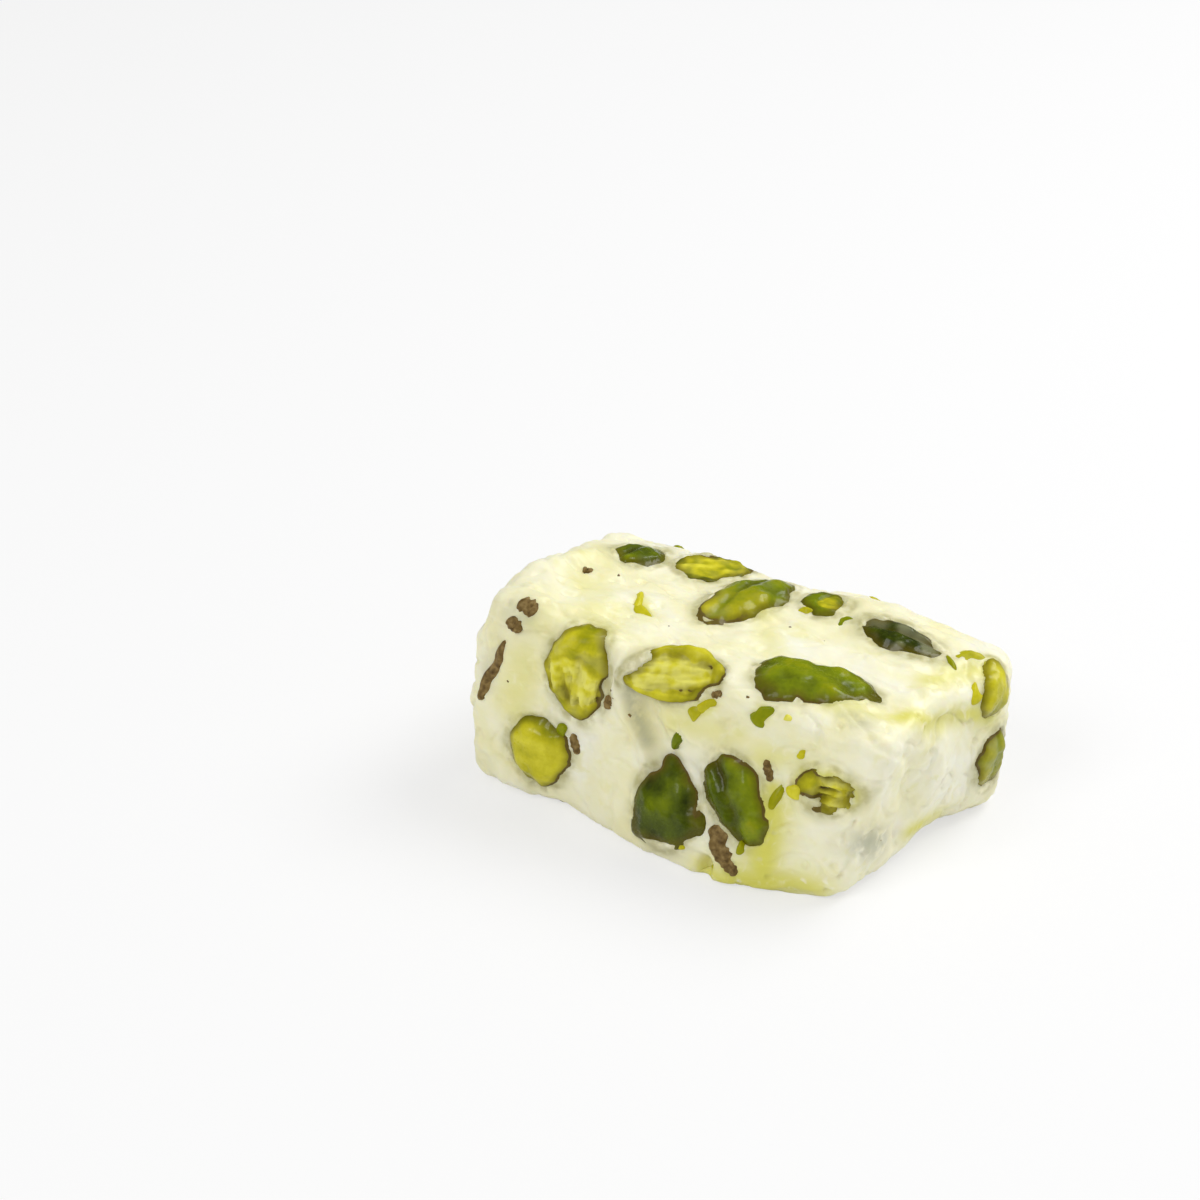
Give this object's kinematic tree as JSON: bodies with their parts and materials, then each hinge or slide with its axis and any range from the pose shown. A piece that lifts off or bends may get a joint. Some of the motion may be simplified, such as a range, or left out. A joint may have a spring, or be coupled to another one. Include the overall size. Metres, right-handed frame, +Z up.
{
  "type": "pistachio nougat bar",
  "caption": "Knife-cut bar of soft white nougat with whole, sliced and broken pistachio kernels set in it on every side.",
  "frame": {"origin": "bottom centre of the bar's box, on the surface that it rests on", "axes": "+X along the bar's long side towards its slanted end, +Y towards its back, +Z up"},
  "size_m": [0.0684, 0.0426, 0.0292],
  "materials": {
    "nougat": "soft satin sugar mass",
    "kernel_green": "satin",
    "kernel_olive": "satin",
    "kernel_cut": "rough broken or cut flesh",
    "kernel_skin": "dry papery skin"
  },
  "bodies": {
    "root": {"nougat": "nougat", "kernel_front_1": "kernel_cut", "kernel_front_2": "kernel_olive", "kernel_front_3": "kernel_green", "kernel_front_4": "kernel_green", "kernel_front_5": "kernel_cut", "kernel_edge_1": "kernel_cut", "kernel_top_1": "kernel_green", "kernel_top_2": "kernel_olive", "kernel_top_3": "kernel_cut", "kernel_top_4": "kernel_green", "kernel_top_5": "kernel_green", "kernel_top_6": "kernel_green", "kernel_right_1": "kernel_olive", "kernel_right_2": "kernel_cut", "kernel_back_1": "kernel_green", "kernel_back_2": "kernel_cut", "kernel_back_3": "kernel_olive", "kernel_back_4": "kernel_green", "kernel_back_5": "kernel_green", "kernel_left_1": "kernel_green", "kernel_left_2": "kernel_cut", "kernel_base_1": "kernel_green", "kernel_base_2": "kernel_cut", "kernel_base_3": "kernel_green"}
  },
  "joints": []
}
